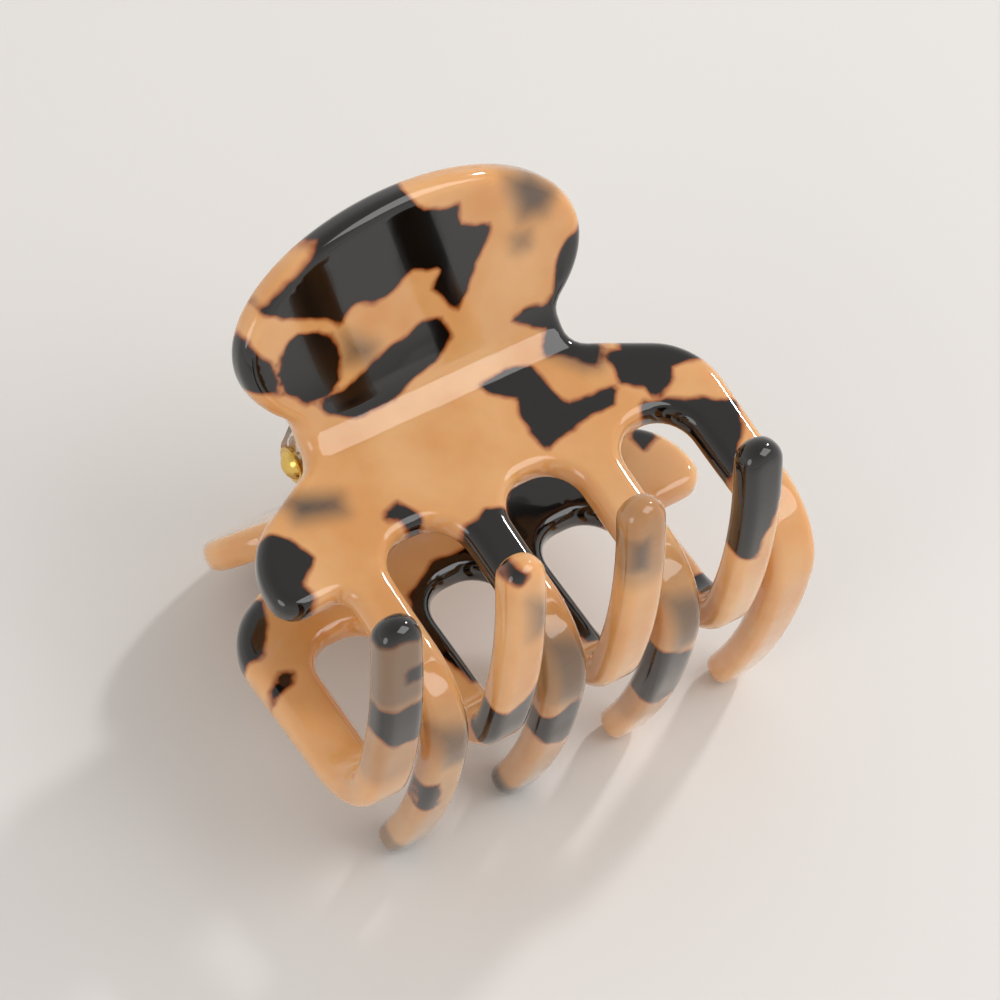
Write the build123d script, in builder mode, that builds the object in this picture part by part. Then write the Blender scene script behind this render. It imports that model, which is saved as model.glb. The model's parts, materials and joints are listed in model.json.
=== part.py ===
"""A closed claw hair clip of polished acetate sheet, lying on its side.

X runs along the hinge pin, +Y points towards the finger wings and +Z up from the table.
The clip rests on the rim of its rear wing and on the four tooth tips of its front jaw.
The origin is under the middle of the clip, on the table. All sizes are millimetres.
"""

import os
from math import acos, atan2, cos, degrees, pi, radians, sin, sqrt, tan

from build123d import *

# Acetate sheet, bent hot over a former into one jaw.
sheet_thickness = 3.8

# Side profile of a jaw at mid-sheet, from its wing's rim round to its tooth tips.
# "Out" is away from the hinge pin, "up" is towards the wings.
rim_out = 30.6
rim_up = 9.05
rim_slope = 24.5  # degrees that the wing rises towards its rim
wing_length = 20.6
wing_turn = 9.0
neck_radius = 8.6
neck_turn = 50.5
body_length = 23.0
body_turn = 4.0
bend_radius = 7.6
bend_turn = 83.5
tooth_length = 27.5
tooth_turn = 24.0

# Outline of the flat sheet, with heights measured from the hinge pin.
wing_half_width = 21.6
wing_half_depth = 12.9
neck_half_width = 16.8
neck_corner_radius = 2.0
shoulder_overhang = 0.75  # past the first tooth
lug_width = 7.7  # past the last tooth
shoulder_top = -5.8  # where the shoulder leaves the neck
shoulder_side = -12.0  # where the shoulder turns down the side
shoulder_radius = 8.5
lug_bottom = -20.6
lug_corner_radius = 2.8
crotch_radius = 1.4

# Teeth, counted along the hinge. The two jaws' teeth stand half a pitch apart.
tooth_pitch = 15.0
tooth_stagger = 0.25  # of a pitch, from the middle of the clip
tooth_widths = (6.0, 5.7, 5.6, 5.2)
tooth_narrowing = 0.5  # how much narrower a tooth is past its bend
gap_top = -17.5
gap_corner_radius = 3.9
tip_corner_radius = 2.2

# Hinge: a headed pin through two clear knuckles of each jaw.
pin_diameter = 2.0
pin_running_gap = 0.05
pin_head_diameter = 3.4
pin_head_height = 1.0
cap_depth = 1.3  # how far the pin stands into its cap
washer_diameter = 4.4
washer_thickness = 0.4
washer_gap = 0.1
knuckle_width = 2.8
knuckle_gap = 0.2
knuckle_eye_radius = 2.9
knuckle_centre = 12.8  # the outer knuckles' distance from the middle of the pin
foot_thickness = 1.2
foot_margin = 1.2  # how much wider than its knuckle a foot is, on each side
foot_above_neck = 1.7
foot_below_neck = 2.8

# Torsion spring round the pin, between the inner knuckles.
spring_wire = 1.0
spring_coil_radius = 2.3
spring_turns = 9
spring_end_gap = 0.7
bend_swell = 0.03  # that the wire thickens where it is bent into a leg
spring_leg_gap = 0.15  # from a leg's wire to the sheet that it presses on

blank_margin = 2.0  # sheet left outside the outline before it is cut
cut_overlap = 0.1  # that the neck's cut runs past the end of the wing's
cut_handover = 0.6  # how far down the neck's first half the wing's cut ends
fillet_share = 0.95  # of its edge that a limited fillet takes
tolerance = 0.05
reach = 60.0  # longer than any cut is deep

wing_radius = wing_length / radians(wing_turn)
body_radius = body_length / radians(body_turn)
tooth_radius = tooth_length / radians(tooth_turn)
middle_place = (len(tooth_widths) - 1) / 2 + tooth_stagger
tooth_centres = [tooth_pitch * (place - middle_place) for place in range(len(tooth_widths))]
first_edge = tooth_centres[0] - tooth_widths[0] / 2
last_edge = tooth_centres[-1] + tooth_widths[-1] / 2
shoulder_edge = first_edge - shoulder_overhang
lug_edge = last_edge + lug_width

# The shoulder above the lug is limited by the lug's side, which it shares with the lug's corner.
lug_turn = pi / 2 - atan2(shoulder_top - shoulder_side, lug_edge - neck_half_width)
lug_side = shoulder_side - lug_bottom - lug_corner_radius
lug_shoulder_radius = min(shoulder_radius, fillet_share * lug_side / tan(lug_turn / 2))


def step(angle):
    """A unit step in the side profile, at an angle from straight out."""
    return Vector(cos(radians(angle)), sin(radians(angle)))


def sheet_line(beyond, shift):
    """The side profile, begun beyond its rim and shifted from mid-sheet to the finger side."""
    along = step(180 + rim_slope)
    rim = Vector(rim_out, rim_up) + step(270 + rim_slope) * shift
    margin = Line(rim - along * beyond, rim)
    wing = JernArc(rim, along, wing_radius - shift, wing_turn)
    neck = JernArc(wing @ 1, wing % 1, neck_radius - shift, neck_turn)
    body = JernArc(neck @ 1, neck % 1, body_radius - shift, body_turn)
    bend = JernArc(body @ 1, body % 1, bend_radius + shift, -bend_turn)
    tooth = JernArc(bend @ 1, bend % 1, tooth_radius + shift, -tooth_turn)
    return margin, wing, neck, body, bend, tooth


middle_line = sheet_line(blank_margin, 0)
finger_line = sheet_line(blank_margin, sheet_thickness / 2)
neck_start = middle_line[2] @ 0
neck_middle = middle_line[2] @ 0.5
neck_end = middle_line[2] @ 1
half_sheet = sheet_thickness / 2
foot_top = neck_start.Y + foot_above_neck
foot_bottom = neck_end.Y - foot_below_neck
tip = middle_line[5] @ 1
tip_angle = 180 + rim_slope + wing_turn + neck_turn + body_turn - bend_turn - tooth_turn

# The wing's cut ends square to the rim's slope, part of the way down the neck. The neck's own cut
# starts just above the place where that end crosses the hinge side of the sheet.
handover = neck_start + (neck_middle - neck_start) * cut_handover
neck_centre = neck_start + step(270 + rim_slope + wing_turn) * neck_radius
hinge_side_radius = neck_radius + half_sheet
crossing = radians(rim_slope) + acos((handover - neck_centre).dot(step(rim_slope)) / hinge_side_radius)
neck_top = neck_centre.Y + hinge_side_radius * sin(crossing) + cut_overlap

# The resting pose: the rear wing's rim and the front teeth's tips touch the table with their
# finger-side edges. Here "out" is the rear jaw's, so the front jaw's is reversed.
rim = Vector(rim_out, rim_up)
rear_contact = rim + step(270 + rim_slope) * half_sheet
tip_contact = tip + step(tip_angle + 90) * half_sheet
front_contact = Vector(-tip_contact.X, tip_contact.Y)
rest_line = (rear_contact - front_contact).normalized()
lean = degrees(atan2(rest_line.X, rest_line.Y))
hinge_height = rear_contact.X * rest_line.Y - rear_contact.Y * rest_line.X
rim_top = (rim - step(270 + rim_slope) * half_sheet).dot(rest_line)
bend_bottom = min(
    Compound(children=finger_line).rotate(Axis.Z, turn).bounding_box().min.Y for turn in (lean, -lean)
)
hinge_forward = -(rim_top + bend_bottom) / 2

hinge = Vector(0, hinge_forward, hinge_height)
rear_out = Vector(0, rest_line.X, -rest_line.Y)
rear_side = Plane(hinge, x_dir=rear_out, z_dir=(1, 0, 0))
front_side = Plane(hinge, x_dir=-rear_out, z_dir=(-1, 0, 0))


with BuildSketch() as sheet_section:
    with BuildLine():
        finger_edges = sheet_line(blank_margin, sheet_thickness / 2)
        hinge_edges = sheet_line(blank_margin, -sheet_thickness / 2)
        Line(finger_edges[0] @ 0, hinge_edges[0] @ 0)
        Line(finger_edges[-1] @ 1, hinge_edges[-1] @ 1)
    make_face()


def shape_jaw(side):
    """One jaw, seen from its side plane: bent sheet cut to its outline, teeth and tips."""
    with BuildPart() as jaw:
        half_blank = max(wing_half_width, -shoulder_edge, lug_edge) + blank_margin
        half_cut = half_blank + blank_margin
        with BuildSketch(side):
            add(sheet_section.sketch)
        extrude(amount=half_blank, both=True)

        # The wing's oval and the neck, cut square to the sheet at the rim.
        slope = side.x_dir * cos(radians(rim_slope)) + side.y_dir * sin(radians(rim_slope))
        wing_view = Plane(
            side.from_local_coords(Vector(rim_out, rim_up)),
            x_dir=side.z_dir,
            z_dir=side.z_dir.cross(slope),
        )
        rim_place = step(rim_slope).dot(Vector(rim_out, rim_up))
        neck_cut = handover.dot(step(rim_slope)) - rim_place
        with BuildSketch(wing_view) as wing_cut:
            with Locations((0, neck_cut)):
                Rectangle(2 * half_cut, 2 * blank_margin - neck_cut, align=(Align.CENTER, Align.MIN))
            with Locations((0, -wing_half_depth)):
                Ellipse(wing_half_width, wing_half_depth, mode=Mode.SUBTRACT)
            with Locations((0, neck_cut)):
                Rectangle(
                    2 * neck_half_width,
                    -neck_cut / 2,
                    align=(Align.CENTER, Align.MIN),
                    mode=Mode.SUBTRACT,
                )
            neck_sides = wing_cut.vertices().filter_by(
                lambda point: abs(abs(point.X) - neck_half_width) < tolerance
            )
            fillet(neck_sides.filter_by(lambda point: point.Y > neck_cut + tolerance), neck_corner_radius)
        extrude(amount=wing_half_depth, both=True, mode=Mode.SUBTRACT)

        # The neck's sides, the shoulders, the lug beside the last tooth and the gaps between teeth,
        # cut square to the body.
        body_view = Plane(side.origin, x_dir=side.z_dir, z_dir=-side.x_dir)
        neck_depth = neck_middle.X + sheet_thickness / 2
        narrowed = tooth_narrowing / 2
        with BuildSketch(body_view.offset(-neck_depth)):
            with BuildLine():
                FilletPolyline(
                    (-neck_half_width, neck_top),
                    (-neck_half_width, shoulder_top),
                    (shoulder_edge, shoulder_side),
                    (first_edge + narrowed, -reach),
                    (-half_cut, -reach),
                    (-half_cut, neck_top),
                    radius=(0, neck_corner_radius, shoulder_radius, 0, 0, 0),
                    close=True,
                )
            make_face()
            with BuildLine():
                FilletPolyline(
                    (neck_half_width, neck_top),
                    (neck_half_width, shoulder_top),
                    (lug_edge, shoulder_side),
                    (lug_edge, lug_bottom),
                    (last_edge, lug_bottom),
                    (last_edge - narrowed, -reach),
                    (half_cut, -reach),
                    (half_cut, neck_top),
                    radius=(
                        0,
                        neck_corner_radius,
                        lug_shoulder_radius,
                        lug_corner_radius,
                        crotch_radius,
                        0,
                        0,
                        0,
                    ),
                    close=True,
                )
            make_face()
            for place in range(len(tooth_centres) - 1):
                gap_start = tooth_centres[place] + tooth_widths[place] / 2
                gap_end = tooth_centres[place + 1] - tooth_widths[place + 1] / 2
                with BuildLine():
                    FilletPolyline(
                        (gap_start - narrowed, -reach),
                        (gap_start, gap_top),
                        (gap_end, gap_top),
                        (gap_end + narrowed, -reach),
                        radius=(0, gap_corner_radius, gap_corner_radius, 0),
                        close=True,
                    )
                make_face()
        extrude(amount=2 * reach, mode=Mode.SUBTRACT)

        # Tips rounded in plan, at the short edges that cross the sheet there.
        at_tips = (
            jaw.edges()
            .filter_by(GeomType.LINE)
            .filter_by(lambda edge: abs(edge.length - sheet_thickness) < tolerance)
            .filter_by(lambda edge: abs(side.to_local_coords(edge.center()).X - tip.X) < tolerance)
        )
        fillet(at_tips, radius=tip_corner_radius)
    return jaw.part


def shape_knuckle(side, centre):
    """A clear moulded knuckle: an eye round the pin, an arm and a wider foot on the sheet."""
    foot_line = -sheet_thickness / 2 - foot_thickness
    low, high = centre - knuckle_width / 2, centre + knuckle_width / 2
    with BuildPart() as knuckle:
        with BuildSketch(side.offset(low)):
            Circle(knuckle_eye_radius)
            with BuildLine():
                Polyline(
                    (0, knuckle_eye_radius),
                    (neck_start.X, foot_top),
                    (neck_end.X, foot_bottom),
                    (0, -knuckle_eye_radius),
                    close=True,
                )
            make_face()
            add(sheet_section.sketch, mode=Mode.SUBTRACT)
        extrude(amount=high - low)
        with BuildSketch(side.offset(low - foot_margin)):
            with BuildLine():
                glued_edges = sheet_line(blank_margin, -sheet_thickness / 2)
                foot_edges = sheet_line(blank_margin, foot_line)
                Line(glued_edges[0] @ 0, foot_edges[0] @ 0)
                Line(glued_edges[-1] @ 1, foot_edges[-1] @ 1)
            make_face()
            with Locations((0, foot_bottom)):
                Rectangle(neck_start.X, foot_top - foot_bottom, align=Align.MIN, mode=Mode.INTERSECT)
        extrude(amount=high - low + 2 * foot_margin)
        with BuildSketch(side):
            Circle(pin_diameter / 2 + pin_running_gap)
        extrude(amount=reach, both=True, mode=Mode.SUBTRACT)
    return knuckle.part


inner_centre = knuckle_centre - knuckle_width - knuckle_gap
coil_half_length = inner_centre - knuckle_width / 2 - spring_end_gap - spring_wire / 2
washer_start = knuckle_centre + knuckle_width / 2 + washer_gap
head_start = washer_start + washer_thickness
pin_end = head_start + cap_depth
pin_radius = pin_diameter / 2
head_radius = pin_head_diameter / 2
dome_radius = (head_radius**2 + pin_head_height**2) / (2 * pin_head_height)
hinge_view = Plane(hinge, x_dir=(1, 0, 0), z_dir=(0, 0, 1))

with BuildPart() as front_jaw:
    add(shape_jaw(front_side))
with BuildPart() as rear_jaw:
    add(shape_jaw(rear_side))

with BuildPart() as front_outer_knuckle:
    add(shape_knuckle(front_side, knuckle_centre))
with BuildPart() as front_inner_knuckle:
    add(shape_knuckle(front_side, -inner_centre))
with BuildPart() as rear_outer_knuckle:
    add(shape_knuckle(rear_side, knuckle_centre))
with BuildPart() as rear_inner_knuckle:
    add(shape_knuckle(rear_side, -inner_centre))

# Hinge pin: a shank with a domed head on its left end, turned as one piece.
with BuildPart() as hinge_pin:
    with BuildSketch(hinge_view):
        with BuildLine():
            Polyline(
                (pin_end, 0),
                (pin_end, pin_radius),
                (-head_start, pin_radius),
                (-head_start, head_radius),
            )
            RadiusArc((-head_start, head_radius), (-head_start - pin_head_height, 0), -dome_radius)
            Line((-head_start - pin_head_height, 0), (pin_end, 0))
        make_face()
    revolve(axis=Axis(hinge, (1, 0, 0)))

# Pin cap: a domed cap pressed on the pin's right end once the knuckles are threaded.
with BuildPart() as pin_cap:
    with BuildSketch(hinge_view):
        with BuildLine():
            Polyline(
                (pin_end + pin_head_height, 0),
                (pin_end, 0),
                (pin_end, pin_radius),
                (head_start, pin_radius),
                (head_start, head_radius),
                (pin_end, head_radius),
            )
            RadiusArc((pin_end, head_radius), (pin_end + pin_head_height, 0), dome_radius)
        make_face()
    revolve(axis=Axis(hinge, (1, 0, 0)))

# Washers: one between each end of the pin and the outer knuckle beside it.
with BuildPart() as left_washer:
    with BuildSketch(Plane(hinge, x_dir=(0, 1, 0), z_dir=(1, 0, 0)).offset(-head_start)):
        Circle(washer_diameter / 2)
        Circle(pin_radius, mode=Mode.SUBTRACT)
    extrude(amount=washer_thickness)
with BuildPart() as right_washer:
    with BuildSketch(Plane(hinge, x_dir=(0, 1, 0), z_dir=(1, 0, 0)).offset(washer_start)):
        Circle(washer_diameter / 2)
        Circle(pin_radius, mode=Mode.SUBTRACT)
    extrude(amount=washer_thickness)

# Torsion spring: a coil round the pin whose two legs push the wings apart. The legs leave the
# coil's top and end against the hinge side of the wings.
leg_line_radius = wing_radius + sheet_thickness / 2 + spring_leg_gap + spring_wire / 2
wing_centre = rim + step(270 + rim_slope) * wing_radius
leg_length = wing_centre.X - sqrt(leg_line_radius**2 - (spring_coil_radius - wing_centre.Y) ** 2)
with BuildPart() as torsion_spring:
    with BuildLine() as coil:
        turns = Helix(
            pitch=2 * coil_half_length / spring_turns,
            height=2 * coil_half_length,
            radius=spring_coil_radius,
            center=hinge - Vector(coil_half_length, 0, 0),
            direction=(1, 0, 0),
            mode=Mode.PRIVATE,
        )
        add(turns.rotate(Axis(hinge, (1, 0, 0)), lean - 90))
    with BuildSketch(Plane(coil.line @ 0, z_dir=coil.line % 0)):
        Circle(spring_wire / 2)
    sweep()
    rear_leg = Plane(coil.line @ 0, z_dir=rear_side.x_dir)
    front_leg = Plane(coil.line @ 1, z_dir=front_side.x_dir)
    with BuildSketch(rear_leg, front_leg):
        Circle(spring_wire / 2)
    extrude(amount=leg_length)
    with Locations(coil.line @ 0, coil.line @ 1):
        Sphere(spring_wire / 2 + bend_swell)

pieces = {
    "front_jaw": front_jaw,
    "rear_jaw": rear_jaw,
    "front_outer_knuckle": front_outer_knuckle,
    "front_inner_knuckle": front_inner_knuckle,
    "rear_outer_knuckle": rear_outer_knuckle,
    "rear_inner_knuckle": rear_inner_knuckle,
    "hinge_pin": hinge_pin,
    "pin_cap": pin_cap,
    "left_washer": left_washer,
    "right_washer": right_washer,
    "torsion_spring": torsion_spring,
}
os.makedirs("parts", exist_ok=True)
for name, piece in pieces.items():
    piece.part.label = name
    export_step(piece.part, f"parts/{name}.step")
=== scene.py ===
import json
from math import atan2, cos, pi, radians, sin

import bmesh
import bpy
import numpy as np
from mathutils import Matrix, Vector
from mathutils.geometry import delaunay_2d_cdt


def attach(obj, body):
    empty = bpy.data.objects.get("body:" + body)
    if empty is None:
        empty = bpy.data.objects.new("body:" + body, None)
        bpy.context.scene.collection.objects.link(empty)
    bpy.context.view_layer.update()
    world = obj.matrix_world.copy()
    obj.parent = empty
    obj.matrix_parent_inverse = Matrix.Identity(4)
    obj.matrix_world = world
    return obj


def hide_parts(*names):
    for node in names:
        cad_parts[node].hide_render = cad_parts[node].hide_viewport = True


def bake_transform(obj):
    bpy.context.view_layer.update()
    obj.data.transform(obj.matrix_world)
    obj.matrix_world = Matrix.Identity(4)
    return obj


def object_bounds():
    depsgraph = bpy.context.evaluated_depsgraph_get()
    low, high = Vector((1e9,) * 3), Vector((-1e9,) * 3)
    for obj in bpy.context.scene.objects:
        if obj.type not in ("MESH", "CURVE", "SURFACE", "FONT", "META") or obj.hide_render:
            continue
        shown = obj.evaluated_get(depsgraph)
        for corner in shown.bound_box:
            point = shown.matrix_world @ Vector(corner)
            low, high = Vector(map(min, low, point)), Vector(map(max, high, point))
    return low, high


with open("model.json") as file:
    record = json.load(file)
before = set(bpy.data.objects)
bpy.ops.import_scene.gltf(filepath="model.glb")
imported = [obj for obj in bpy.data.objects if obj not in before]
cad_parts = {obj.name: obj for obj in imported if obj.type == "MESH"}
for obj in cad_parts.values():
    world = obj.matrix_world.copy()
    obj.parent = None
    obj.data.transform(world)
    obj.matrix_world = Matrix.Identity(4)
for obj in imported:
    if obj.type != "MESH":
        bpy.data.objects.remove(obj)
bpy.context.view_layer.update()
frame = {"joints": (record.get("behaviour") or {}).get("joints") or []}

# ---------------------------------------------------------------------------------------------
# Jaws. Each is cut from 4 mm cellulose acetate sheet, in which black and smoke-grey chips were
# pressed into honey-coloured stock. The blank is bent hot over a former, then tumbled and
# buffed, which rounds every edge and leaves a wet-looking gloss.
# ---------------------------------------------------------------------------------------------
MM = 0.001

# The side profile at mid-sheet, in millimetres and degrees, from the wing's rim to the tips.
sheet_thickness = 3.8
rim_out, rim_up, rim_slope = 30.6, 9.05, 24.5
wing_length, wing_turn = 20.6, 9.0
neck_radius, neck_turn = 8.6, 50.5
body_length, body_turn = 23.0, 4.0
bend_radius, bend_turn = 7.6, 83.5
tooth_length, tooth_turn = 27.5, 24.0
profile = (
    (wing_length, wing_turn),
    (neck_radius * radians(neck_turn), neck_turn),
    (body_length, body_turn),
    (bend_radius * radians(bend_turn), -bend_turn),
    (tooth_length, -tooth_turn),
)
sheet_length = sum(length for length, turn in profile)


def sheet_path(along):
    """Places and headings on the mid-sheet line, at distances along it from the wing's rim."""
    out = np.empty_like(along)
    up = np.empty_like(along)
    heading = np.empty_like(along)
    start, place, angle = 0.0, np.array([rim_out, rim_up]), radians(180 + rim_slope)
    for length, turn in profile:
        radius = length / radians(turn)
        here = along >= start - 1e-9
        angles = angle + (along[here] - start) / radius
        out[here] = place[0] + radius * (np.sin(angles) - sin(angle))
        up[here] = place[1] - radius * (np.cos(angles) - cos(angle))
        heading[here] = angles
        end = angle + radians(turn)
        place = place + radius * np.array([sin(end) - sin(angle), cos(angle) - cos(end)])
        start, angle = start + length, end
    return out, up, heading


def bend(flat):
    """Bends points of the flat sheet (across, along, lift) into (out, up, across)."""
    out, up, heading = sheet_path(flat[:, 1])
    lift = flat[:, 2]
    return np.stack([out - lift * np.sin(heading), up + lift * np.cos(heading), flat[:, 0]], axis=1)


# The flat blank's outline. Heights are measured from the hinge pin, "up" towards the wings.
wing_half_width, wing_half_depth = 21.6, 12.9
neck_half_width, neck_fillet = 16.8, 3.2
shoulder_fillet = 8.5
shoulder_overhang, lug_width = 0.75, 7.7  # past the first and last teeth
shoulder_top, shoulder_side = -5.6, -12.0
lug_bottom, lug_fillet, crotch_fillet = -20.6, 2.8, 1.5
tooth_pitch = 15.0
tooth_stagger = 0.25  # of a pitch, so that the two jaws' teeth pass through each other's gaps
root_widths = (6.0, 5.7, 5.6, 5.2)
tip_width = 5.1
tip_roundness = 0.97  # of the tip's half width
gap_top, gap_fillet = -17.5, 4.1
mesh_step = 0.7
wing_points = 121
wing_margin = 0.1  # radians left free for the fillet where the wing's oval meets the neck
corner_points = 13
middle_place = (len(root_widths) - 1) / 2 + tooth_stagger
tooth_middles = [tooth_pitch * (place - middle_place) for place in range(len(root_widths))]
shoulder_edge = tooth_middles[0] - root_widths[0] / 2 - shoulder_overhang
lug_edge = tooth_middles[-1] + root_widths[-1] / 2 + lug_width

measured = np.linspace(wing_length, sheet_length - tooth_length, 400)
heights = sheet_path(measured)[1]


def at_height(height):
    """Distance along the sheet at which the neck or body passes a height."""
    return float(np.interp(-height, -heights, measured))


def rounded(corners):
    """A closed line through corners (across, along, radius), with each corner an arc."""
    points = []
    for before, corner, after in zip(corners[-1:] + corners[:-1], corners, corners[1:] + corners[:1]):
        here = np.array(corner[:2])
        if corner[2] == 0:
            points.append(here)
            continue
        back = np.array(before[:2]) - here
        ahead = np.array(after[:2]) - here
        back, ahead = back / np.linalg.norm(back), ahead / np.linalg.norm(ahead)
        half = np.arccos(np.clip(back @ ahead, -1, 1)) / 2
        middle = (back + ahead) / np.linalg.norm(back + ahead)
        centre = here + middle * corner[2] / sin(half)
        first = here + back * corner[2] / np.tan(half) - centre
        last = here + ahead * corner[2] / np.tan(half) - centre
        sweep = atan2(first[0] * last[1] - first[1] * last[0], first @ last)
        for share in np.linspace(0, 1, corner_points):
            turn = sweep * share
            spin = np.array([[cos(turn), -sin(turn)], [sin(turn), cos(turn)]])
            points.append(centre + spin @ first)
    return np.array(points)


def evenly(points, step):
    """The same closed line with its points about a step apart."""
    closed = np.vstack([points, points[:1]])
    run = np.r_[0, np.cumsum(np.linalg.norm(np.diff(closed, axis=0), axis=1))]
    count = int(run[-1] / step)
    places = np.arange(count) * run[-1] / count
    return np.stack([np.interp(places, run, closed[:, axis]) for axis in (0, 1)], axis=1)


def blank_outline():
    """The blank's outline, once round from the neck past the lug, the teeth and the wing."""
    gap = at_height(gap_top)
    corners = [
        (neck_half_width, at_height(shoulder_top), neck_fillet),
        (lug_edge, at_height(shoulder_side), shoulder_fillet),
        (lug_edge, at_height(lug_bottom), lug_fillet),
        (tooth_middles[-1] + root_widths[-1] / 2, at_height(lug_bottom), crotch_fillet),
    ]
    for place in reversed(range(len(root_widths))):
        middle, tip = tooth_middles[place], tip_width / 2
        corners.append((middle + tip, sheet_length, tip * tip_roundness))
        corners.append((middle - tip, sheet_length, tip * tip_roundness))
        if place > 0:
            corners.append((middle - root_widths[place] / 2, gap, gap_fillet))
            corners.append((tooth_middles[place - 1] + root_widths[place - 1] / 2, gap, gap_fillet))
    corners.append((shoulder_edge, at_height(shoulder_side), shoulder_fillet))
    corners.append((-neck_half_width, at_height(shoulder_top), neck_fillet))
    neck_angle = np.arcsin(neck_half_width / wing_half_width)
    neck_along = wing_half_depth * (1 + cos(neck_angle))
    corners.append((-neck_half_width, neck_along, neck_fillet))
    first_angle = neck_angle + wing_margin
    for angle in np.linspace(first_angle, 2 * pi - first_angle, wing_points):
        corners.append((-wing_half_width * sin(angle), wing_half_depth * (1 + cos(angle)), 0))
    corners.append((neck_half_width, neck_along, neck_fillet))
    return rounded(corners)


outline = evenly(blank_outline(), mesh_step)

# Tumbling rounds the edges to about a third of the sheet, and the tips all the way.
edge_radius = 1.5
tip_edge_radius = 1.8
tip_round_length = 4.0
edge_steps = 6
row_spacing = 0.87  # of a step, so that the rows make nearly equal triangles
lip_clearance = 0.6  # of a step, kept free beside the rounded edge


def inside(points, line):
    """Which points lie inside a closed line."""
    hits = np.zeros(len(points), bool)
    for a, b in zip(line, np.roll(line, -1, axis=0)):
        if a[1] == b[1]:
            continue
        spans = (points[:, 1] < a[1]) != (points[:, 1] < b[1])
        crossing = a[0] + (points[:, 1] - a[1]) * (b[0] - a[0]) / (b[1] - a[1])
        hits ^= spans & (points[:, 0] < crossing)
    return hits


def sheet_mesh():
    """The flat blank as points (across, along, lift) and faces, with every edge rounded."""
    tangent = np.roll(outline, -1, axis=0) - np.roll(outline, 1, axis=0)
    tangent /= np.linalg.norm(tangent, axis=1)[:, None]
    inward = np.stack([-tangent[:, 1], tangent[:, 0]], axis=1)
    if not inside(outline[:1] + inward[:1] * mesh_step, outline)[0]:
        inward = -inward
    to_tip = np.clip((outline[:, 1] - sheet_length + tip_round_length) / tip_round_length, 0, 1)
    radius = edge_radius + (tip_edge_radius - edge_radius) * to_tip**2
    half = sheet_thickness / 2
    rings = []
    for turn in np.linspace(pi / 2, 0, edge_steps + 1):
        flat = outline + inward * (radius * (1 - cos(turn)))[:, None]
        rings.append(np.column_stack([flat, half - radius * (1 - sin(turn))]))
    rings += [ring * (1, 1, -1) for ring in reversed(rings)]
    count = len(outline)
    points = np.vstack(rings)
    faces = []
    for ring in range(len(rings) - 1):
        for place in range(count):
            after = (place + 1) % count
            low, high = ring * count, (ring + 1) * count
            faces.append((low + place, low + after, high + after, high + place))
    lip = rings[0][:, :2]
    rows = np.arange(lip[:, 1].min(), lip[:, 1].max(), mesh_step * row_spacing)
    columns = np.arange(lip[:, 0].min(), lip[:, 0].max(), mesh_step)
    grid = np.array(
        [(x + mesh_step / 2 * (row % 2), y) for row, y in enumerate(rows) for x in columns]
    )
    grid = grid[inside(grid, lip)]
    nearest = np.min([np.hypot(*(grid - point).T) for point in lip], axis=0)
    grid = grid[nearest > mesh_step * lip_clearance]
    seeds = [Vector(point) for point in np.vstack([lip, grid]).tolist()]
    loop = [(place, (place + 1) % count) for place in range(count)]
    flat, _, filled, origins, _, _ = delaunay_2d_cdt(seeds, loop, [list(range(count))], 1, 1e-6)
    first = len(points)
    places = {}
    for number, source in enumerate(origins):
        places[number] = source[0] if source and source[0] < count else None
    added = [number for number in places if places[number] is None]
    for offset, number in enumerate(added):
        places[number] = first + offset
    face_points = np.array([flat[number][:] for number in added])
    upper = np.column_stack([face_points, np.full(len(added), half)])
    points = np.vstack([points, upper, upper * (1, 1, -1)])
    last_ring = (len(rings) - 1) * count
    for face in filled:
        top = [places[number] for number in face]
        under = [n + last_ring if n < count else n + len(added) for n in top]
        faces += [tuple(top), tuple(reversed(under))]
    return points, faces


flat_points, flat_faces = sheet_mesh()

hinge_point = Vector(frame["joints"][0]["pos_m"])


def resting_lean():
    """How far the clip leans from upright on its side, with its rim and its front tips down."""
    (out,), (up,), (heading,) = sheet_path(np.array([sheet_length]))
    rise = sheet_thickness / 2
    slope = radians(rim_slope)
    rim = np.array([rim_out, rim_up]) + rise * np.array([sin(slope), -cos(slope)])
    tip = np.array([-out, up]) + rise * np.array([sin(heading), cos(heading)])
    return atan2(rim[0] - tip[0], rim[1] - tip[1])


lean = resting_lean()
jaw_up = Vector((0, cos(lean), sin(lean)))
rear_out = Vector((0, sin(lean), -cos(lean)))


def new_piece(name, points, faces):
    """A smooth-shaded mesh object from points in metres."""
    mesh = bpy.data.meshes.new(name)
    mesh.from_pydata([tuple(point) for point in points], [], faces)
    mesh.validate()
    mesh.update()
    mesh.shade_smooth()
    made = bpy.data.objects.new(name, mesh)
    bpy.context.scene.collection.objects.link(made)
    return made


def jaw(name, out, across):
    """The flat blank bent into one jaw, facing out from the hinge."""
    bent = bend(flat_points) * MM
    axes = np.array([out, jaw_up, across])
    made = new_piece(name, bent @ axes + np.array(hinge_point), flat_faces)
    shape = bmesh.new()
    shape.from_mesh(made.data)
    bmesh.ops.recalc_face_normals(shape, faces=shape.faces)
    shape.to_mesh(made.data)
    shape.free()
    return made


front_jaw = jaw("front_jaw_polished", -rear_out, Vector((-1, 0, 0)))
rear_jaw = jaw("rear_jaw_polished", rear_out, Vector((1, 0, 0)))


def linear(hex_colour):
    """An sRGB hex colour as linear red, green, blue and alpha."""
    parts = [int(hex_colour[place:place + 2], 16) / 255 for place in (1, 3, 5)]
    curved = [part / 12.92 if part <= 0.04045 else ((part + 0.055) / 1.055) ** 2.4 for part in parts]
    return (*curved, 1)


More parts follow.
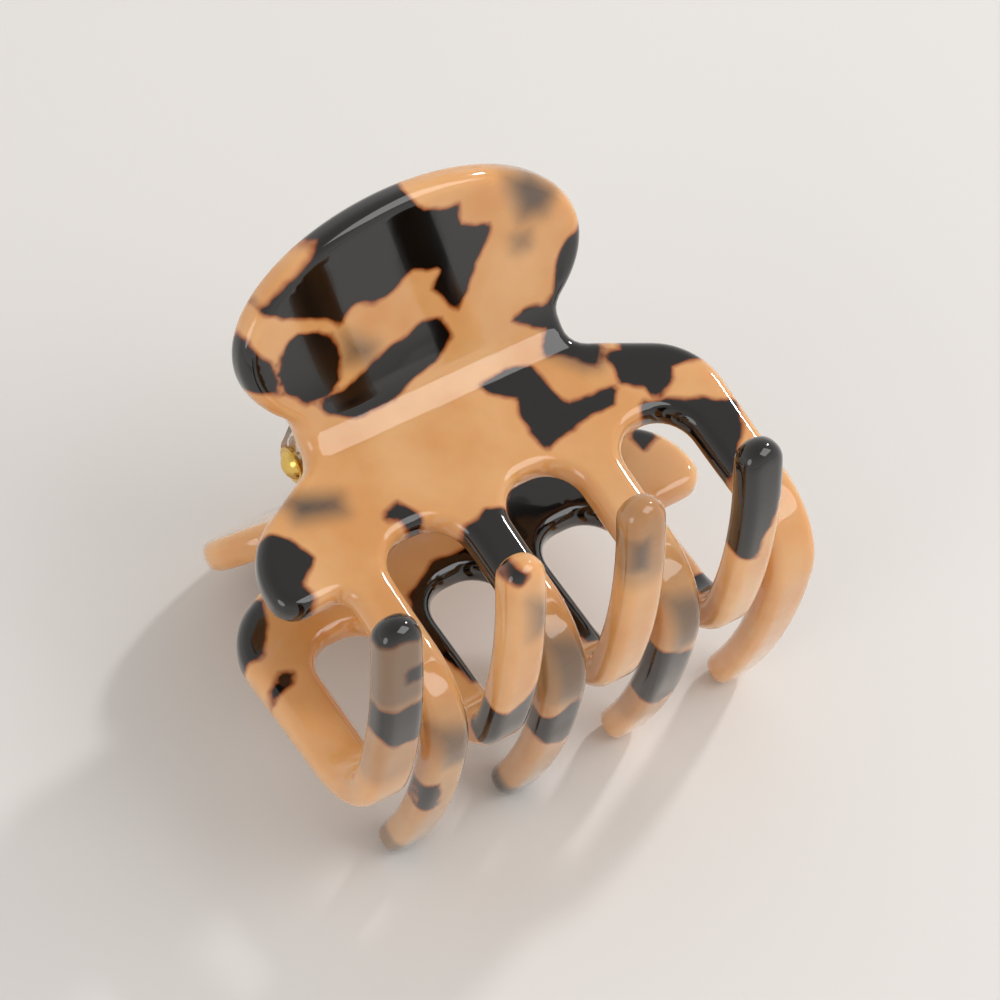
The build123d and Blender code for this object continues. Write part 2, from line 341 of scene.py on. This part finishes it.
def add(tree, kind, settings=(), inputs=()):
    """Adds a node, with its settings, and its inputs as values or links."""
    made = tree.nodes.new(kind)
    for name, value in dict(settings).items():
        setattr(made, name, value)
    for name, value in dict(inputs).items():
        if isinstance(value, bpy.types.NodeSocket):
            tree.links.new(value, made.inputs[name])
        else:
            made.inputs[name].default_value = value
    return made


def noise(tree, where, scale, detail):
    """Smooth procedural noise, from 0 to 1."""
    inputs = {"Vector": where, "Scale": scale, "Detail": detail}
    return add(tree, "ShaderNodeTexNoise", {}, inputs).outputs["Fac"]


def ramp(tree, value, low, high, to_low=0.0, to_high=1.0, kind="LINEAR"):
    """A value's run from low to high, mapped to another."""
    inputs = {0: value, 1: low, 2: high, 3: to_low, 4: to_high}
    return add(tree, "ShaderNodeMapRange", {"interpolation_type": kind}, inputs).outputs[0]


def mix(tree, share, under, over, kind="MIX"):
    """Two colours mixed by a share."""
    settings = {"data_type": "RGBA", "blend_type": kind}
    return add(tree, "ShaderNodeMix", settings, {0: share, 6: under, 7: over}).outputs[2]


def new_material(name):
    """An empty material, its node tree and its output node."""
    material = bpy.data.materials.new(name)
    material.use_nodes = True
    material.node_tree.nodes.clear()
    return material, material.node_tree, add(material.node_tree, "ShaderNodeOutputMaterial")


# Cellulose acetate, buffed: a deep, slightly milky honey stock that lets light in a few
# millimetres, so that edges glow, under a wet gloss. Chips are near black with burnt edges.
honey_light, honey_deep = linear("#E8B77F"), linear("#DDA160")
chip_black, chip_edge = linear("#0B0807"), linear("#A8652F")
smoke_grey = linear("#4A4340")
acetate, tree, output = new_material("buffed_tortoiseshell_acetate")
place = add(tree, "ShaderNodeAttribute", {"attribute_name": "sheet_mm"}).outputs["Vector"]
ink = add(tree, "ShaderNodeAttribute", {"attribute_name": "ink_mm"}).outputs["Fac"]
smoke = add(tree, "ShaderNodeAttribute", {"attribute_name": "smoke"}).outputs["Fac"]
clouds_per_mm, ragged_per_mm, waves_per_mm = 0.09, 0.4, 0.12
clouds = noise(tree, place, clouds_per_mm, 3.0)
stock = mix(tree, ramp(tree, clouds, 0.35, 0.65), honey_light, honey_deep)

# A chip's edge wanders by this much either side of its outline, and scorches the honey beside it.
wander_mm = 0.6
scorch_from, scorch_to = -0.7, 0.1
black_half_edge = 0.15
ragged = noise(tree, place, ragged_per_mm, 1.5)
shift = add(
    tree, "ShaderNodeMath", {"operation": "MULTIPLY_ADD"}, {0: ragged, 1: 2 * wander_mm, 2: -wander_mm}
).outputs[0]
edge = add(tree, "ShaderNodeMath", {}, {0: ink, 1: shift}).outputs[0]
burnt = ramp(tree, edge, scorch_from, scorch_to, kind="SMOOTHSTEP")
black = ramp(tree, edge, -black_half_edge, black_half_edge, kind="SMOOTHSTEP")
smoky = mix(tree, smoke, stock, smoke_grey)
colour = mix(tree, black, mix(tree, burnt, smoky, chip_edge, "MULTIPLY"), chip_black)
waves = noise(tree, place, waves_per_mm, 1.0)
buffing = add(
    tree, "ShaderNodeBump", {}, {"Height": waves, "Strength": 0.3, "Distance": 0.0004}
).outputs[0]
shader = add(
    tree,
    "ShaderNodeBsdfPrincipled",
    {"subsurface_method": "RANDOM_WALK"},
    {
        "Base Color": colour,
        "Roughness": 0.07,
        "IOR": 1.48,
        "Subsurface Weight": 0.8,
        "Subsurface Radius": (1.0, 0.55, 0.28),
        "Subsurface Scale": 0.0026,
        "Coat Weight": 0.8,
        "Coat Roughness": 0.03,
        "Normal": buffing,
    },
)
tree.links.new(shader.outputs[0], output.inputs["Surface"])

# Chips in the stock that show on each jaw, as outlines (across, along) in millimetres on the
# flat blank. They run through the sheet. Smoke ones are sunk in the honey and have soft edges.
front_chips = [
    # The wing: a large branching chip, two smaller ones and two at its rim.
    [(18, 7), (16.5, 8), (11, 11), (9.5, 12), (7.5, 10.5), (5, 11.5), (2.5, 11), (0, 9.5), (-3.5, 11),
     (-2, 13), (-4.5, 16.5), (-6, 15), (-7.5, 12), (-9, 10.5), (-10, 8.5), (-6.5, 7), (-6.5, 4.5),
     (-2.5, 3.5), (-1, 1), (-0.5, -1), (8, -1), (10, 2), (15, 5.5)],
    [(16, 12), (14.5, 11.5), (12.5, 12), (11, 13.5), (10.5, 16), (11, 18.5), (13, 19.5), (15.5, 19.5),
     (17, 17.5), (18, 15), (17, 13)],
    [(14, 20.5), (10.5, 20), (5.5, 18), (2, 17), (0, 16.5), (-2, 17), (-3, 19.5), (-0.5, 21.5), (3, 22.5),
     (5.5, 24), (10, 24), (12, 23), (13.5, 21.5)],
    [(21, 9), (20, 11.5), (18.5, 13.5), (18, 15), (18.5, 17), (20.5, 16), (24, 15), (24, 10)],
    [(-24, 13), (-19, 14.5), (-17, 17.5), (-16.5, 20), (-15, 21), (-12.5, 20.5), (-11, 21), (-12, 22),
     (-14.5, 24), (-13, 27.5), (-14.5, 28), (-17.5, 31.5), (-19, 29), (-20, 26), (-24, 20)],
    # The body and the shoulders.
    [(-4, 27.5), (-8, 27), (-11, 28), (-11, 31), (-12, 34), (-14.5, 34.5), (-18, 34.5), (-16.5, 36),
     (-12, 36.5), (-9, 37), (-7, 37.5), (-6.5, 35), (-6.5, 33), (-7.5, 31), (-5, 29)],
    [(-19, 30.5), (-21, 31), (-22, 28), (-26, 28), (-31, 35), (-28.5, 35.5), (-25, 35), (-24, 36.5),
     (-22, 37.5), (-21, 37.5), (-21, 36), (-18.5, 34.5), (-19, 33)],
    [(-19.5, 37.5), (-24.5, 39.5), (-29, 42), (-28, 45), (-26, 47), (-23.5, 50), (-21, 44), (-21, 40),
     (-19, 39)],
    [(25.5, 33), (24, 34.5), (23, 37.5), (24, 38.5), (25, 39), (25.5, 39.5), (25, 41.5), (27, 43),
     (31, 43), (31, 35), (28.5, 33)],
    [(13.5, 37), (13, 36.3), (11.3, 36), (9.8, 38), (10, 39.2), (11.6, 39.2), (12, 37.6)],
    [(7, 42), (3, 41), (0, 42.5), (0, 48), (2.5, 50.5), (4.5, 50), (7, 48)],
    # The teeth.
    [(21.5, 68.5), (20, 67.5), (19.3, 73), (21.3, 73)],
    [(7, 66.5), (2.5, 64), (0, 69), (3, 73), (7, 70)],
    [(-8, 64), (-15, 67), (-15, 73.5), (-11, 76.5), (-8, 74.5)],
]
front_smoke = [
    (0.8, [(9.5, 13.5), (6, 16.5), (7, 18), (10, 17)]),
    (0.9, [(-13, 4), (-16.5, 4.5), (-19, 8), (-17, 10), (-14, 9.5)]),
    (0.8, [(-12.8, 11.3), (-14.5, 11.5), (-14.3, 13), (-12.8, 12.8)]),
    (0.9, [(-13.5, 27.5), (-17, 26), (-20, 27), (-18.5, 31), (-17.5, 31.5), (-16, 31)]),
    (1.0, [(22, 29.7), (16.5, 32.3), (17, 34.2), (22, 32.8)]),
    (0.8, [(21.5, 58), (15, 60), (15, 66), (20, 64.5)]),
    (0.25, [(23, 57), (15, 57), (15, 93), (23, 93)]),
    (0.9, [(22, 84.5), (15, 84.5), (15, 93), (22, 93)]),
    (0.8, [(6, 55), (0, 57), (0, 66), (6, 63)]),
    (0.25, [(8, 54), (-1, 54), (-1, 93), (8, 93)]),
    (1.0, [(8, 85), (0, 85), (0, 93), (8, 93)]),
    (0.8, [(-9, 57), (-15, 58), (-15, 64.5), (-10, 65)]),
    (0.25, [(-7, 54), (-16, 54), (-16, 82), (-7, 82)]),
]
rear_chips = [
    # The teeth, from the lug's side on.
    [(15, 93), (23, 93), (23, 83), (20.5, 83), (19.5, 79.5), (18.5, 78), (18.5, 74.5), (15, 76)],
    [(18, 53), (22, 53), (22, 58), (18.5, 58)],
    [(6, 42), (7.5, 52), (5.5, 56), (4, 55), (4.5, 48), (4.5, 43)],
    [(-13.2, 89.3), (-12.3, 88.7), (-11.5, 89.4), (-12.2, 90.6)],
    [(-15, 60), (-15, 68.5), (-12.5, 67.5), (-10.5, 69), (-8, 74), (-8, 62), (-12, 61)],
    [(-30, 88.5), (-27, 88.8), (-24, 88), (-22, 88), (-22, 93), (-30, 93)],
    [(-26.5, 84.5), (-23, 84.2), (-23, 82.5), (-26.3, 82.7)],
    [(-30, 79.5), (-27, 79), (-23, 78.5), (-23, 72.5), (-27, 73), (-30, 76)],
    # The body round the gaps, and its edges.
    [(5, 43), (5.5, 37), (7, 34), (8.5, 32.5), (11, 32.5), (14, 34), (15.5, 37), (15.5, 43)],
    [(-9.5, 52), (-11.5, 44), (-9.5, 39.5), (-5, 37), (0, 37), (2, 40), (1, 43), (-8, 43), (-8, 52)],
    [(-24.6, 31), (-24, 32), (-25, 34.5), (-27.6, 38), (-32, 38), (-32, 31)],
    [(-29, 42.5), (-27.3, 41), (-26, 41.5), (-27, 42.5), (-29.5, 43.5)],
    [(24, 33.5), (27, 32.5), (27, 35), (24.5, 35.5)],
    [(-20, 29), (-14, 27), (-11, 31), (-15, 34), (-18, 33)],
    # The wing: a long branching chip, two smaller ones and one at its rim.
    [(-16, 6), (-13, 4.5), (-9, 6.5), (-6, 4.5), (-2.5, 6), (1, 2.5), (6, 3.5), (5, 7.5), (1, 8.5),
     (-1, 12), (-4.5, 10.5), (-8, 14), (-12, 12.5), (-13.5, 9.5)],
    [(9, 9), (13, 7), (16.5, 8.5), (18, 12.5), (15, 14.5), (12.5, 13.5), (8, 17), (5, 15.5), (6.5, 12)],
    [(-9.5, 18), (-4, 16.5), (2, 18.5), (4, 21), (0, 23), (-6, 22.5), (-11.5, 24.5), (-13, 21)],
    [(10, -1), (16, -1), (23, 5), (20, 8), (15.5, 4.5), (11, 3)],
]
rear_smoke = [
    (0.9, [(4, 87), (1, 87), (1, 82), (4, 81.5)]),
    (0.4, [(8, 93), (-1, 93), (-1, 80), (8, 80)]),
    (0.7, [(-11.4, 86), (-8, 84.5), (-8, 80), (-11, 80.5)]),
    (0.75, [(-31, 90), (-22, 90), (-22, 79), (-31, 79)]),
    (0.35, [(-31, 76), (-22, 76), (-22, 66), (-31, 66)]),
    (0.8, [(-22, 22), (-17, 24), (-19, 29), (-24, 27)]),
]
# The rim is cut this far inside the pressed sheet that the chips are drawn on.
chips_from_rim = 0.6
smoke_blur = 1.9
furthest = 8.0


def depth_in(shape):
    """How deep each point of the blank lies inside a chip, in millimetres, negative outside."""
    line = np.array(shape, float)
    points = flat_points[:, :2] + (0, chips_from_rim)
    nearest = np.full(len(points), furthest)
    for a, b in zip(line, np.roll(line, -1, axis=0)):
        side = b - a
        share = np.clip((points - a) @ side / (side @ side), 0, 1)
        nearest = np.minimum(nearest, np.hypot(*(points - a - share[:, None] * side).T))
    return np.where(inside(points, line), nearest, -nearest)


def inlay(piece, chips, smokes):
    """Stores on a jaw where its points lie on the flat sheet and in which chips."""
    ink = np.max([depth_in(chip) for chip in chips] + [np.full(len(flat_points), -furthest)], axis=0)
    haze = np.zeros(len(flat_points))
    for strength, smoke in smokes:
        share = np.clip(depth_in(smoke) / smoke_blur / 2 + 0.5, 0, 1)
        haze = np.maximum(haze, strength * share * share * (3 - 2 * share))
    for name, kind, values in (
        ("sheet_mm", "FLOAT_VECTOR", flat_points),
        ("ink_mm", "FLOAT", ink),
        ("smoke", "FLOAT", haze),
    ):
        stored = piece.data.attributes.new(name, kind, "POINT")
        slot = "vector" if kind == "FLOAT_VECTOR" else "value"
        stored.data.foreach_set(slot, values.astype(np.float32).ravel())
    piece.data.materials.append(acetate)


inlay(front_jaw, front_chips, front_smoke)
inlay(rear_jaw, rear_chips, rear_smoke)
for piece, body in ((front_jaw, "front"), (rear_jaw, "rear")):
    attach(piece, body)
    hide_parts(f"{body}_jaw")

# ---------------------------------------------------------------------------------------------
# Knuckles. Four clear acrylic mouldings, glued inside the necks with their wide feet. Their
# eyes interleave on the pin. Their sharp moulded edges are eased by a bevel.
# ---------------------------------------------------------------------------------------------
# Acrylic from a polished mould: colourless, glass-bright, with faint flow lines that bend the view.
acrylic, tree, output = new_material("clear_moulded_acrylic")
spot = add(tree, "ShaderNodeNewGeometry").outputs["Position"]
flow_lines_per_metre = 450
flow = noise(tree, spot, flow_lines_per_metre, 1.0)
flow_bump = add(tree, "ShaderNodeBump", {}, {"Height": flow, "Strength": 0.25, "Distance": 0.0002})
shader = add(
    tree,
    "ShaderNodeBsdfPrincipled",
    {},
    {
        "Base Color": linear("#F7F4EE"),
        "Roughness": 0.04,
        "IOR": 1.49,
        "Transmission Weight": 1.0,
        "Normal": flow_bump.outputs[0],
    },
)
tree.links.new(shader.outputs[0], output.inputs["Surface"])


def finish_part(node, material, edge_mm):
    """Gives a CAD part its material and a small bevel on its edges."""
    part = bpy.data.objects[node]
    part.data.materials.clear()
    part.data.materials.append(material)
    bevel = part.modifiers.new("eased_edges", "BEVEL")
    bevel.width = edge_mm * MM
    bevel.segments = 3
    bevel.limit_method = "ANGLE"
    bevel.angle_limit = radians(35)


for node in ("front_outer_knuckle", "front_inner_knuckle", "rear_outer_knuckle", "rear_inner_knuckle"):
    finish_part(node, acrylic, 0.3)

# ---------------------------------------------------------------------------------------------
# Pin, cap and washers. A turned brass pin with a domed head, a domed cap pressed on its other
# end, and a washer under each, all flash plated in gold.
# ---------------------------------------------------------------------------------------------
# Gold flash over turned brass: warm mirror, faintly clouded, with fine handling wear.
gold, tree, output = new_material("gold_flashed_brass")
spot = add(tree, "ShaderNodeNewGeometry").outputs["Position"]
wear_marks_per_metre = 2500
dulling = ramp(tree, noise(tree, spot, wear_marks_per_metre, 3.0), 0.35, 0.7, 0.1, 0.28)
shader = add(
    tree,
    "ShaderNodeBsdfPrincipled",
    {},
    {"Base Color": linear("#E9C46C"), "Metallic": 1.0, "Roughness": dulling},
)
tree.links.new(shader.outputs[0], output.inputs["Surface"])
for node in ("hinge_pin", "pin_cap", "left_washer", "right_washer"):
    finish_part(node, gold, 0.1)

# ---------------------------------------------------------------------------------------------
# Torsion spring. Hard-drawn steel wire, 1 mm, gold plated like the pin: nine turns round it
# and a leg pressing on the hinge side of each wing, which holds the jaws shut.
# ---------------------------------------------------------------------------------------------
wire_radius = 0.5
coil_radius, coil_half_length, coil_turns = 2.3, 7.2, 9
leg_length, leg_start, leg_points = 12.6, 0.8, 12
points_per_turn = 28
wire_sides = 14
dome_steps = 5


def spring_line():
    """The wire's centre line, from the rear leg's end round the coil to the front leg's end."""
    seat = np.array(hinge_point) / MM
    up, rear = np.array(jaw_up), np.array(rear_out)
    across = np.array((1.0, 0, 0))
    first = seat - across * coil_half_length + up * coil_radius
    last = seat + across * coil_half_length + up * coil_radius
    points = [first + rear * reach for reach in np.linspace(leg_length, leg_start, leg_points)]
    for turn in np.linspace(0, 2 * pi * coil_turns, points_per_turn * coil_turns + 1):
        along = across * coil_half_length * (turn / (pi * coil_turns) - 1)
        points.append(seat + along + (up * cos(turn) - rear * sin(turn)) * coil_radius)
    points += [last - rear * reach for reach in np.linspace(leg_start, leg_length, leg_points)]
    return np.array(points)


def wire(name, line, radius, sides):
    """A round wire along a line, with domed ends, in millimetres."""
    tangents = np.gradient(line, axis=0)
    tangents /= np.linalg.norm(tangents, axis=1)[:, None]
    side = np.array((1.0, 0, 0)) - tangents[0] * tangents[0][0]
    rings = []
    for point, tangent in zip(line, tangents):
        side = side - tangent * (side @ tangent)
        side /= np.linalg.norm(side)
        rings.append((point, tangent, side.copy(), 1.0))
    dome = [(cos(angle), sin(angle)) for angle in np.linspace(0, pi / 2, dome_steps)[1:-1]]
    start, end = rings[0], rings[-1]
    rings = [(start[0] - start[1] * radius * far, *start[1:3], near) for near, far in reversed(dome)] + rings
    rings += [(end[0] + end[1] * radius * far, *end[1:3], near) for near, far in dome]
    points = []
    for point, tangent, side, share in rings:
        other = np.cross(tangent, side)
        for turn in np.arange(sides) * 2 * pi / sides:
            points.append(point + (side * cos(turn) + other * sin(turn)) * radius * share)
    faces = []
    for ring in range(len(rings) - 1):
        for turn in range(sides):
            low, after = ring * sides + turn, ring * sides + (turn + 1) % sides
            faces.append((low, after, after + sides, low + sides))
    faces.append(tuple(reversed(range(sides))))
    faces.append(tuple(range(len(points) - sides, len(points))))
    return new_piece(name, np.array(points) * MM, faces)


spring = wire("torsion_spring_wire", spring_line(), wire_radius, wire_sides)
# Plated wire: the gold is brighter and smoother than on the pin, with draw lines round the wire.
plated_wire, tree, output = new_material("gold_plated_spring_wire")
spot = add(tree, "ShaderNodeNewGeometry").outputs["Position"]
draw_marks_per_metre = 1800
streaks = ramp(tree, noise(tree, spot, draw_marks_per_metre, 2.0), 0.3, 0.7, 0.08, 0.2)
shader = add(
    tree,
    "ShaderNodeBsdfPrincipled",
    {},
    {"Base Color": linear("#EBCB7C"), "Metallic": 1.0, "Roughness": streaks},
)
tree.links.new(shader.outputs[0], output.inputs["Surface"])
spring.data.materials.append(plated_wire)
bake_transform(spring)
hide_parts("torsion_spring")

# ---------------------------------------------------------------------------------------------
# Stage, light and camera. A low window from the right throws the long shadow. A broad softbox
# overhead lays the pale band along the neck's valley and the small windows on the tooth bends.
# ---------------------------------------------------------------------------------------------
# Matt card: warm white with a faint tooth.
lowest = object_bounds()[0][2]
half_floor = 2.0
floor = new_piece(
    "floor",
    [(half_floor * x, half_floor * y, lowest) for x, y in ((-1, -1), (1, -1), (1, 1), (-1, 1))],
    [(0, 1, 2, 3)],
)
card, tree, output = new_material("matt_white_card")
spot = add(tree, "ShaderNodeNewGeometry").outputs["Position"]
card_fibres_per_metre = 900
fibres = noise(tree, spot, card_fibres_per_metre, 3.0)
card_bump = add(tree, "ShaderNodeBump", {}, {"Height": fibres, "Strength": 0.1, "Distance": 0.0001})
shader = add(
    tree,
    "ShaderNodeBsdfPrincipled",
    {},
    {"Base Color": linear("#E9E6E3"), "Roughness": 0.65, "Normal": card_bump.outputs[0]},
)
tree.links.new(shader.outputs[0], output.inputs["Surface"])
floor.data.materials.append(card)


def softbox(name, shape, azimuth, elevation, distance, size, watts):
    """An area light that faces the clip."""
    light = bpy.data.lights.new(name, "AREA")
    light.shape = shape
    light.size = size
    light.energy = watts
    lamp = bpy.data.objects.new(name, light)
    bpy.context.scene.collection.objects.link(lamp)
    turn, rise = radians(azimuth), radians(elevation)
    away = Vector((sin(turn) * cos(rise), -cos(turn) * cos(rise), sin(rise)))
    lamp.location = hinge_point + away * distance
    lamp.rotation_euler = away.to_track_quat("Z", "Y").to_euler()


softbox("low_window", "DISK", 104, 38, 1.1, 0.1, 3.0)
softbox("overhead_softbox", "SQUARE", 41, 53, 0.8, 0.5, 1.8)
softbox("left_fill", "DISK", -75, 25, 1.0, 0.5, 1.2)

# Pale walls, brighter at the horizon than overhead.
studio = bpy.data.worlds.new("studio")
bpy.context.scene.world = studio
studio.use_nodes = True
tree = studio.node_tree
direction = add(tree, "ShaderNodeTexCoord").outputs["Generated"]
height = add(tree, "ShaderNodeSeparateXYZ", {}, {0: direction}).outputs["Z"]
horizon_strength, zenith_strength = 0.9, 0.5
glow = ramp(tree, height, 0.0, 1.0, horizon_strength, zenith_strength)
tree.links.new(glow, tree.nodes["Background"].inputs["Strength"])
tree.nodes["Background"].inputs["Color"].default_value = linear("#F6F4F1")
bpy.context.scene.view_settings.view_transform = "Standard"

view_azimuth, view_elevation, view_roll = -40.3, 52.96, -8.38
view_distance = 0.4362
view_target = hinge_point + Vector((0.0020, -0.0162, 0.0014))
camera_data = bpy.data.cameras.new("camera")
camera_data.lens = 144
camera = bpy.data.objects.new("camera", camera_data)
bpy.context.scene.collection.objects.link(camera)
turn, rise = radians(view_azimuth), radians(view_elevation)
back = Vector((sin(turn) * cos(rise), -cos(turn) * cos(rise), sin(rise)))
level = Vector((0, 0, 1)).cross(back).normalized()
camera_up = Matrix.Rotation(radians(view_roll), 3, -back) @ back.cross(level)
camera_right = camera_up.cross(back)
camera.matrix_world = Matrix.Translation(view_target + back * view_distance) @ Matrix(
    (camera_right, camera_up, back)
).transposed().to_4x4()
bpy.context.scene.camera = camera
